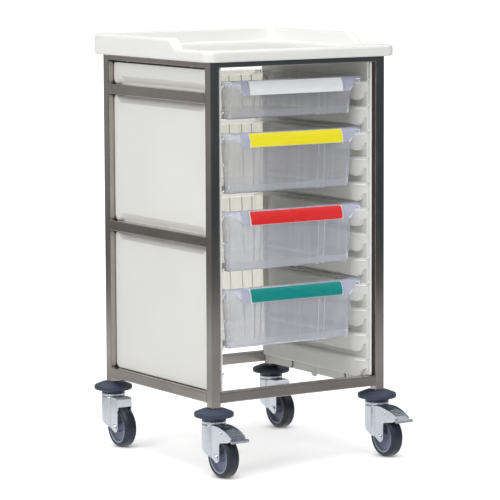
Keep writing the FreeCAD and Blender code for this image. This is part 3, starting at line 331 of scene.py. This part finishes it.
def straightBead(name, radius, start, end, sides):
    piece = openRing(name, radius, start, (end - start).to_track_quat("Z", "Y").to_euler(), sides)
    bpy.ops.mesh.extrude_region_move(TRANSFORM_OT_translate={"value": end - start})
    closeTube()
    return piece


def joined(name, pieces):  # one object out of many, with its origin at the frame's
    bpy.ops.object.select_all(action="DESELECT")
    for piece in pieces:
        piece.select_set(True)
    bpy.context.view_layer.objects.active = pieces[0]
    bpy.ops.object.join()
    whole = bpy.context.object
    whole.name = name
    bpy.ops.object.origin_set(type="ORIGIN_CURSOR")
    return whole


# clear trays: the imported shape, with each zone finished apart
trayZones = {"rimDepth": 0.0132, "rimPlay": 0.001, "gripReach": 0.009, "gripDepth": 0.036, "gripSheet": 0.0045,
             "endWall": 0.016, "floorBand": 0.012, "floorFacing": 0.85, "ribWidth": 0.0021, "ribSheet": 0.002,
             "ribPlay": 0.0002, "ribFacing": 0.99, "backFacing": 0.5, "leftEnd": -0.154, "frontBand": 0.050,
             "footBand": 0.020, "smooth": 32}


def trayZone(mesh, face, low, high):
    xs = [mesh.vertices[index].co.x for index in face.vertices]
    width = max(xs) - min(xs)
    drop = high.z - face.center.z
    inside = low.y + trayZones["gripReach"] + trayZones["endWall"] < face.center.y < high.y - trayZones["endWall"]
    if width < trayZones["ribWidth"] and inside and drop > trayZones["rimDepth"] - trayZones["rimPlay"]:
        if abs(face.normal.x) > trayZones["ribFacing"] or abs(width - trayZones["ribSheet"]) < trayZones["ribPlay"]:
            # only the right-hand front ribs take the painted highlight
            return "paintedGlint" if face.center.x > 0 and face.center.y < 0 else "rib"
    if abs(face.normal.z) > trayZones["floorFacing"] and face.center.z < low.z + trayZones["floorBand"]:
        return "floor"
    grip = face.center.y < low.y + trayZones["gripReach"] + trayZones["gripSheet"]
    if grip and drop < trayZones["gripDepth"] and face.center.x > trayZones["leftEnd"]:
        return "rim"
    if drop < trayZones["rimDepth"] or (grip and drop < trayZones["gripDepth"]):
        return "edge" if face.center.y < low.y + trayZones["frontBand"] else "sideRim"
    if face.center.y > low.y + trayZones["frontBand"]:
        return "back" if abs(face.normal.y) > trayZones["backFacing"] else "side"
    return "foot" if face.center.z < low.z + trayZones["footBand"] else "wall"


def makeTray(tray):
    node = tray + "_tray"
    low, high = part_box(node)
    piece = freshPiece(tray + "_clear_tray", nodes[node].data.copy())
    mesh = piece.data
    mesh.materials.clear()
    for zone in zoneNames:
        mesh.materials.append(trayMaterials[tray][zone])
    bpy.ops.object.mode_set(mode="EDIT")
    bpy.ops.mesh.select_all(action="SELECT")
    bpy.ops.mesh.customdata_custom_splitnormals_clear()
    bpy.ops.mesh.remove_doubles(threshold=mergeDistance)
    bpy.ops.mesh.bisect(plane_co=(trayZones["leftEnd"], 0, 0), plane_no=(1, 0, 0))
    bpy.ops.mesh.select_all(action="SELECT")
    bpy.ops.mesh.bisect(plane_co=(0, 0, low.z + trayZones["footBand"]), plane_no=(0, 0, 1))
    bpy.ops.object.mode_set(mode="OBJECT")
    for face in mesh.polygons:
        face.material_index = zoneNames.index(trayZone(mesh, face, low, high))
    bpy.ops.object.shade_smooth_by_angle(angle=math.radians(trayZones["smooth"]))
    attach(piece, tray + "_drawer")
    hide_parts(node)


for tray in trays:
    makeTray(tray)
print("clear trays made")


# coloured inserts bent round the grips, a little smaller than their pale holders
labelInsert = {"width": 0.2635, "bend": 0.052, "proud": 0.0004, "sheet": 0.0008, "centreBack": 0.0413,
               "centreDrop": 0.0306, "head": 33.8, "sweep": 36.4, "steps": 6, "corner": 0.0048, "cornerSteps": 5,
               "endPlay": 0.0001, "smooth": 30}
labelTints = {"shallow": (0.90, 0.91, 0.94), "upper": (0.96, 0.84, 0.018), "middle": (0.78, 0.022, 0.024),
              "lower": (0.004, 0.27, 0.25)}


def makeInsert(tray):
    low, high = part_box(tray + "_tray")
    axis = Vector((0, low.y + trayZones["gripReach"] + labelInsert["centreBack"],
                   high.z - labelInsert["centreDrop"]))
    radius = labelInsert["bend"] + labelInsert["proud"]
    head = math.radians(labelInsert["head"])
    start = axis + radius * Vector((0, -math.cos(head), math.sin(head)))
    half = labelInsert["width"] / 2
    bpy.ops.object.select_all(action="DESELECT")
    bpy.ops.mesh.primitive_plane_add(size=labelInsert["width"], location=(0, start.y + half, start.z))
    piece = bpy.context.object
    piece.name = tray + "_label_insert"
    bpy.ops.object.transform_apply(location=True)
    pick(piece, lambda place: place.y > start.y + half)
    bpy.ops.mesh.delete(type="VERT")
    bpy.ops.mesh.select_all(action="SELECT")
    bpy.ops.mesh.spin(steps=labelInsert["steps"], angle=-math.radians(labelInsert["sweep"]), center=axis,
                      axis=(1, 0, 0))
    bpy.ops.mesh.select_all(action="SELECT")
    bpy.ops.mesh.remove_doubles(threshold=mergeDistance)
    bpy.ops.object.mode_set(mode="OBJECT")
    heights = [vertex.co.z for vertex in piece.data.vertices]
    ends = (min(heights), max(heights))
    pick(piece, lambda place: min(abs(place.z - end) for end in ends) < labelInsert["endPlay"])
    bpy.ops.mesh.bevel(affect="VERTICES", offset=labelInsert["corner"], segments=labelInsert["cornerSteps"])
    bpy.ops.mesh.select_all(action="SELECT")
    bpy.ops.mesh.normals_make_consistent(inside=False)
    bpy.ops.object.mode_set(mode="OBJECT")
    if sum(face.normal.y for face in piece.data.polygons) > 0:
        piece.data.flip_normals()
    wall = piece.modifiers.new("sheet", "SOLIDIFY")
    wall.thickness = labelInsert["sheet"]
    wall.offset = -1.0
    bpy.ops.object.modifier_apply(modifier=wall.name)
    bpy.ops.object.shade_smooth_by_angle(angle=math.radians(labelInsert["smooth"]))
    piece.data.materials.append(grainedFinish(tray + "LabelTint", dict(labelPlastic, tint=labelTints[tray])))
    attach(piece, tray + "_drawer")


for tray in trays:
    makeInsert(tray)
print("label inserts made")


# raised ring round each side of a wheel's hub, in a paler plastic that is a painted highlight on the hub's rounded
# rim
hubRing = {"middle": 0.0382, "half": 0.0017, "face": 0.0135, "flatten": 0.5, "steps": 72, "sides": 10}


def makeHubRings(corner):
    low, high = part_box(corner + "_hub")
    centre = (low + high) / 2
    rings = []
    for side in (-1, 1):
        place = centre + Vector((side * hubRing["face"], 0, 0))
        bpy.ops.object.select_all(action="DESELECT")
        bpy.ops.mesh.primitive_torus_add(major_radius=hubRing["middle"], minor_radius=hubRing["half"],
                                         major_segments=hubRing["steps"], minor_segments=hubRing["sides"],
                                         location=place, rotation=(0, math.pi / 2, 0))
        rings.append(bpy.context.object)
        bpy.ops.object.transform_apply(location=True, rotation=True)
        bpy.ops.object.mode_set(mode="EDIT")
        bpy.ops.mesh.select_all(action="SELECT")
        bpy.ops.transform.resize(value=(hubRing["flatten"], 1, 1), center_override=place)
        bpy.ops.object.mode_set(mode="OBJECT")
    piece = joined(corner + "_hub_rings", rings)
    bpy.ops.object.shade_smooth()
    piece.data.materials.append(hubRingHighlightFinish)
    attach(piece, corner + "_wheel")


for corner in corners:
    makeHubRings(corner)
print("hub rings made")


# rolled lips on the noses of the runners and a short bead up each lead-in, at both ends of both panels; their
# whiter plastic is a painted highlight along the lips and a painted glint up the lead-ins
panelMiddle = 0.03425
runnerLip = {"firstLedge": 0.2385, "pitch": 0.062, "count": 12, "drop": 0.0062, "bead": 0.0021, "sides": 10,
             "bend": 0.0752, "axis": (0.2656, -0.1801), "head": 199.0, "sweep": 22.5, "steps": 9,
             "leadStart": (-0.0006, -0.0025, 0.0020), "leadEnd": (0.0005, 0.0110, 0.0105), "leadBead": 0.0021}


def makeRunnerLips():
    lips = []
    head = math.radians(runnerLip["head"])
    sweep = math.radians(runnerLip["sweep"])
    tail = head + sweep
    across, along = runnerLip["axis"]
    height = runnerLip["firstLedge"] - runnerLip["drop"]
    for hand in (-1, 1):
        for end in (-1, 1):
            axis = Vector((hand * across, panelMiddle - end * along, height))
            spoke = Vector((hand * math.cos(head), -end * math.sin(head), 0))
            turn = (math.pi / 2, 0, math.atan2(spoke.y, spoke.x))
            lips.append(turnedBead("lip", runnerLip["bead"], axis + runnerLip["bend"] * spoke, turn,
                                   runnerLip["sides"], axis, hand * end * sweep, runnerLip["steps"], (0, 0, 1)))
            tip = axis + runnerLip["bend"] * Vector((hand * math.cos(tail), -end * math.sin(tail), 0))
            ends = [tip + Vector((hand * x, end * y, z))
                    for x, y, z in (runnerLip["leadStart"], runnerLip["leadEnd"])]
            lips.append(straightBead("leadIn", runnerLip["leadBead"], *ends, runnerLip["sides"]))
    piece = joined("runner_lip_highlights", lips)
    row = piece.modifiers.new("row", "ARRAY")
    row.count = runnerLip["count"]
    row.use_relative_offset = False
    row.use_constant_offset = True
    row.constant_offset_displace = (0, 0, runnerLip["pitch"])
    bpy.ops.object.modifier_apply(modifier=row.name)
    bpy.ops.object.shade_smooth_by_angle(angle=beadSmooth)
    piece.data.materials.append(highlightFinish)
    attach(piece, "frame")


# rounded edges down the front and back of each panel, in the whiter plastic: a painted highlight on the panels'
# edges
panelEdge = {"across": 0.2167, "back": 0.2394, "low": 0.201, "high": 0.964, "bead": 0.0024, "sides": 12}


def makePanelEdges():
    beads = []
    for hand in (-1, 1):
        for end in (-1, 1):
            ends = [Vector((hand * panelEdge["across"], panelMiddle + end * panelEdge["back"], panelEdge[height]))
                    for height in ("low", "high")]
            beads.append(straightBead("edge", panelEdge["bead"], *ends, panelEdge["sides"]))
    piece = joined("panel_edge_highlights", beads)
    bpy.ops.object.shade_smooth_by_angle(angle=beadSmooth)
    piece.data.materials.append(highlightFinish)
    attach(piece, "frame")


makeRunnerLips()
makePanelEdges()
print("runner lips and panel edges made")


# thin beads at the ends of the grips, painted glints in the whiter highlight plastic: up the slant, along the rim
# and down its corner; the left slant keeps the rim's plastic
gripGlint = {"bead": 0.0011, "sides": 10, "slant": ((0.153, -0.0090, -0.0335), (0.1625, -0.0087, -0.0230)),
              "ridge": ((0.1780, 0.0, -0.0066), (0.1900, 0.0008, -0.0064)),
              "stub": ((0.1890, 0.0006, -0.0085), (0.1890, 0.0006, -0.0128))}


def makeGripGlints(tray):
    low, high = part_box(tray + "_tray")
    datum = Vector((0, low.y + trayZones["gripReach"], high.z))
    beads = []
    for hand in (-1, 1):
        for part in ("slant", "ridge", "stub"):
            ends = [datum + Vector((hand * x, y, z)) for x, y, z in gripGlint[part]]
            bead = straightBead("corner", gripGlint["bead"], *ends, gripGlint["sides"])
            plain = part == "slant" and hand < 0
            bead.data.materials.append(trayMaterials[tray]["rim" if plain else "paintedGlint"])
            beads.append(bead)
    piece = joined(tray + "_grip_glints", beads)
    bpy.ops.object.shade_smooth_by_angle(angle=beadSmooth)
    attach(piece, tray + "_drawer")


for tray in trays:
    makeGripGlints(tray)
print("grip corners made")


# dark half rings in the crescent slots along the foot of each panel, a painted shade for the gap behind each slot
panelClipShade = {"places": (-0.133, 0.101), "height": 0.1812, "face": 0.2105, "bend": 0.0072, "half": 0.0016,
             "sides": 8, "steps": 12}


def makePanelClipShades():
    clips = []
    for hand in (-1, 1):
        for place in panelClipShade["places"]:
            axis = Vector((hand * panelClipShade["face"], panelMiddle + place, panelClipShade["height"]))
            clips.append(turnedBead("clip", panelClipShade["half"], axis + Vector((0, 0, panelClipShade["bend"])),
                                    (math.pi / 2, 0, 0), panelClipShade["sides"], axis, -math.pi, panelClipShade["steps"],
                                    (1, 0, 0)))
    piece = joined("panel_clip_shades", clips)
    bpy.ops.object.shade_smooth_by_angle(angle=beadSmooth)
    piece.data.materials.append(bufferFinish)
    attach(piece, "frame")


# dark bead on the head of each panel, under the top rail: a painted shadow for the gap between rail and panel
panelGapShadow = {"across": 0.2345, "half": 0.222, "height": 0.9646, "bead": 0.0026, "sides": 12,
             "tint": (0.028, 0.027, 0.025)}


def makePanelGapShadows():
    seals = []
    for hand in (-1, 1):
        ends = [Vector((hand * panelGapShadow["across"], panelMiddle + end * panelGapShadow["half"], panelGapShadow["height"]))
                for end in (-1, 1)]
        seals.append(straightBead("seal", panelGapShadow["bead"], *ends, panelGapShadow["sides"]))
    piece = joined("panel_gap_shadows", seals)
    bpy.ops.object.shade_smooth_by_angle(angle=beadSmooth)
    piece.data.materials.append(grainedFinish("gapShadowDark", dict(bufferRubber, tint=panelGapShadow["tint"])))
    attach(piece, "frame")


# rounded tab that hangs from the middle of each panel's foot
panelTab = {"face": 0.2108, "radius": 0.0115, "sides": 32, "sheet": 0.004, "drop": 0.75, "seat": 0.0005,
            "round": 0.0008, "roundSteps": 2}


def makePanelTabs():
    tabs = []
    for hand, side in ((-1, "left"), (1, "right")):
        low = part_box(side + "_side_panel")[0]
        place = Vector((hand * panelTab["face"], panelMiddle, low.z + panelTab["seat"]))
        bpy.ops.object.select_all(action="DESELECT")
        bpy.ops.mesh.primitive_circle_add(vertices=panelTab["sides"], radius=panelTab["radius"], fill_type="NGON",
                                          location=place, rotation=(0, math.pi / 2, 0))
        tab = bpy.context.object
        bpy.ops.object.transform_apply(location=True, rotation=True)
        bpy.ops.object.mode_set(mode="EDIT")
        bpy.ops.mesh.select_all(action="SELECT")
        bpy.ops.transform.resize(value=(1, 1, panelTab["drop"]), center_override=place)
        bpy.ops.mesh.extrude_region_move(TRANSFORM_OT_translate={"value": (hand * panelTab["sheet"], 0, 0)})
        bpy.ops.mesh.select_all(action="SELECT")
        bpy.ops.mesh.bisect(plane_co=place, plane_no=(0, 0, 1), use_fill=True, clear_outer=True)
        bpy.ops.mesh.select_all(action="SELECT")
        bpy.ops.mesh.normals_make_consistent(inside=False)
        bpy.ops.object.mode_set(mode="OBJECT")
        rounding = tab.modifiers.new("round", "BEVEL")
        rounding.width = panelTab["round"]
        rounding.segments = panelTab["roundSteps"]
        bpy.ops.object.modifier_apply(modifier=rounding.name)
        tabs.append(tab)
    piece = joined("panel_tabs", tabs)
    bpy.ops.object.shade_smooth_by_angle(angle=beadSmooth)
    piece.data.materials.append(panelFinish)
    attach(piece, "frame")


makePanelClipShades()
makePanelGapShadows()
makePanelTabs()
print("panel clips, seals and tabs made")


# helpers for the stage's materials

def vectorStep(tree, operation, source, other=None):
    node = tree.nodes.new("ShaderNodeVectorMath")
    node.operation = operation
    tree.links.new(source, node.inputs[0])
    if other:
        node.inputs[1].default_value = other
    return node.outputs["Value" if operation in ("LENGTH", "DOT_PRODUCT") else "Vector"]


def numberStep(tree, operation, *values):  # each value is a socket or a plain number
    node = tree.nodes.new("ShaderNodeMath")
    node.operation = operation
    for socket, value in zip(node.inputs, values):
        if isinstance(value, float):
            socket.default_value = value
        else:
            tree.links.new(value, socket)
    return node.outputs["Value"]


def whiteToEye(tree):  # 1 for rays that show the backdrop itself
    path = tree.nodes.new("ShaderNodeLightPath")
    seen = numberStep(tree, "MAXIMUM", path.outputs["Is Camera Ray"], path.outputs["Is Transmission Ray"])
    return numberStep(tree, "MAXIMUM", seen, path.outputs["Is Glossy Ray"])


# white floor and sky
stageSetup = {"floorSize": 60.0, "floorTint": 0.82, "floorRoughness": 0.9, "floorLift": 0.61, "fade": (1.2, 3.2),
              "skyLight": 0.42}

# painted shadow on the floor between the wheels, deeper towards the lamps, and a painted contact shadow under each
# wheel
wheelShade = {"middle": (0, -0.0075, 0), "wheels": (0.2375, 0.2375, 0), "fade": (0.20, 0.31),
              "depth": (0.29, 0.05), "fall": (0.75, 0.66, 0), "reach": (-0.20, 0.10), "spot": 0.45,
              "spotFade": (0.010, 0.045)}


def floorShade(tree, place):
    folded = vectorStep(tree, "ABSOLUTE", vectorStep(tree, "SUBTRACT", place, wheelShade["middle"]))
    parts = tree.nodes.new("ShaderNodeSeparateXYZ")
    tree.links.new(folded, parts.inputs[0])
    across = spread(tree, parts.outputs["X"], 1.0, 0.0, *wheelShade["fade"])
    along = spread(tree, parts.outputs["Y"], 1.0, 0.0, *wheelShade["fade"])
    fall = vectorStep(tree, "DOT_PRODUCT", place, wheelShade["fall"])
    depth = spread(tree, fall, *wheelShade["depth"], *wheelShade["reach"])
    pad = numberStep(tree, "MULTIPLY", numberStep(tree, "MULTIPLY", across, along), depth)
    away = vectorStep(tree, "LENGTH", vectorStep(tree, "SUBTRACT", folded, wheelShade["wheels"]))
    return numberStep(tree, "ADD", pad, spread(tree, away, wheelShade["spot"], 0.0, *wheelShade["spotFade"]))


def makeFloor():
    bpy.ops.object.select_all(action="DESELECT")
    bpy.ops.mesh.primitive_plane_add(size=stageSetup["floorSize"], location=(0, 0, 0))
    floor = bpy.context.object
    floor.name = "studioFloor"
    material, tree, shader = newMaterial("floorWhite", (stageSetup["floorTint"],) * 3,
                                         stageSetup["floorRoughness"], specular=0.0)
    shader.inputs["Emission Color"].default_value = (1, 1, 1, 1)
    place = tree.nodes.new("ShaderNodeTexCoord").outputs["Object"]
    lift = spread(tree, vectorStep(tree, "LENGTH", place), stageSetup["floorLift"], 1.0, *stageSetup["fade"])
    dimmed = numberStep(tree, "SUBTRACT", lift, floorShade(tree, place))
    tree.links.new(numberStep(tree, "MULTIPLY", whiteToEye(tree), dimmed), shader.inputs["Emission Strength"])
    floor.data.materials.append(material)


def makeSky():
    world = bpy.data.worlds.new("studioSky")
    bpy.context.scene.world = world
    world.use_nodes = True
    tree = world.node_tree
    sky = tree.nodes["Background"]
    sky.inputs["Color"].default_value = (1, 1, 1, 1)
    strength = spread(tree, whiteToEye(tree), stageSetup["skyLight"], 1.0, 0.0, 1.0)
    tree.links.new(strength, sky.inputs["Strength"])


# dim studio round the stage, seen only in reflections: a floor that falls off and a low wall
dimStudio = {"innerRadius": 0.3, "outerRadius": 4.7, "sides": 96, "lift": 0.004, "wallHeight": 4.0,
             "darkSide": (0.54, -0.83, 0), "nearGlow": 0.55, "nearFade": (0.8, 1.1), "dip": -0.40,
             "dipFade": (1.3, 1.85), "floorGlow": 0.70, "floorFade": (1.8, 3.5), "wallTones": (0.10, 0.39),
             "wallFoot": 0.42, "footHeight": 0.35, "darkTint": (0.84, 1.0, 1.18), "lightTint": (1.0, 0.985, 0.985),
             "glowPale": 3.0}


def makeDimStudio():
    bpy.ops.object.select_all(action="DESELECT")
    bpy.ops.mesh.primitive_circle_add(vertices=dimStudio["sides"], radius=dimStudio["innerRadius"],
                                      location=(0, 0, dimStudio["lift"]))
    studio = bpy.context.object
    studio.name = "dimStudio"
    growth = dimStudio["outerRadius"] / dimStudio["innerRadius"]
    bpy.ops.object.mode_set(mode="EDIT")
    bpy.ops.mesh.select_all(action="SELECT")
    bpy.ops.mesh.extrude_region_move()
    bpy.ops.transform.resize(value=(growth, growth, 1.0))
    bpy.ops.mesh.extrude_region_move(TRANSFORM_OT_translate={"value": (0, 0, dimStudio["wallHeight"])})
    bpy.ops.object.mode_set(mode="OBJECT")
    bpy.ops.object.transform_apply(location=True)
    material, tree, shader = newMaterial("dimStudioTone", (0, 0, 0), 1.0, specular=0.0)
    place = tree.nodes.new("ShaderNodeTexCoord").outputs["Object"]
    height = tree.nodes.new("ShaderNodeSeparateXYZ")
    tree.links.new(place, height.inputs[0])
    level = vectorStep(tree, "MULTIPLY", place, (1, 1, 0))
    reach = vectorStep(tree, "LENGTH", level)
    facing = vectorStep(tree, "DOT_PRODUCT", vectorStep(tree, "NORMALIZE", level), dimStudio["darkSide"])
    side = spread(tree, facing, 1.0, 0.0, -1.0, 1.0)
    wall = spread(tree, side, *dimStudio["wallTones"], 0.0, 1.0)
    foot = spread(tree, height.outputs["Z"], dimStudio["wallFoot"], 1.0, 0.0, dimStudio["footHeight"])
    near = spread(tree, reach, dimStudio["nearGlow"], 0.0, *dimStudio["nearFade"])
    floor = spread(tree, reach, dimStudio["floorGlow"], 0.0, *dimStudio["floorFade"])
    dip = spread(tree, reach, dimStudio["dip"], 0.0, *dimStudio["dipFade"])
    glow = numberStep(tree, "ADD", numberStep(tree, "ADD", near, floor), dip)
    tree.links.new(numberStep(tree, "MULTIPLY_ADD", wall, foot, glow), shader.inputs["Emission Strength"])
    paler = numberStep(tree, "MULTIPLY_ADD", glow, dimStudio["glowPale"], side)
    tree.links.new(tintBetween(tree, paler, dimStudio["darkTint"], dimStudio["lightTint"]),
                   shader.inputs["Emission Color"])
    studio.data.materials.append(material)
    studio.visible_camera = False
    studio.visible_diffuse = False
    studio.visible_transmission = False
    studio.visible_shadow = False


lamps = [
    {"name": "overheadLamp", "size": 3.2, "place": (-0.6, -0.8, 4.0), "aim": (0, 0, 0.7), "power": 62},
    {"name": "leftLamp", "size": 2.4, "place": (-4.1, -0.6, 3.2), "aim": (0, 0, 0.6), "power": 92},
    {"name": "frontLamp", "size": 2.4, "place": (0.4, -5.2, 2.3), "aim": (0, 0, 0.6), "power": 53},
]


def makeLamp(lamp):
    light = bpy.data.lights.new(lamp["name"], "AREA")
    light.size = lamp["size"]
    light.energy = lamp["power"]
    holder = bpy.data.objects.new(lamp["name"], light)
    bpy.context.scene.collection.objects.link(holder)
    holder.location = lamp["place"]
    holder.rotation_euler = (Vector(lamp["aim"]) - Vector(lamp["place"])).to_track_quat("-Z", "Y").to_euler()


# the camera fitted to the photo, angles in degrees
cameraSetup = {"lens": 206.38, "place": (-3.8105, -5.8912, 1.3531), "yaw": 32.882, "pitch": 6.916, "roll": 0.254,
               "clipEnd": 200.0}


def makeCamera():
    camera = bpy.data.cameras.new("photoCamera")
    camera.lens = cameraSetup["lens"]
    camera.clip_end = cameraSetup["clipEnd"]
    holder = bpy.data.objects.new("photoCamera", camera)
    bpy.context.scene.collection.objects.link(holder)
    holder.matrix_world = (Matrix.Translation(cameraSetup["place"])
                           @ Matrix.Rotation(-math.radians(cameraSetup["yaw"]), 4, "Z")
                           @ Matrix.Rotation(math.radians(90.0 - cameraSetup["pitch"]), 4, "X")
                           @ Matrix.Rotation(-math.radians(cameraSetup["roll"]), 4, "Z"))
    bpy.context.scene.camera = holder


makeFloor()
makeSky()
makeDimStudio()
for lamp in lamps:
    makeLamp(lamp)
makeCamera()
bpy.context.scene.view_settings.view_transform = "Standard"
print("stage, lamps and camera set")
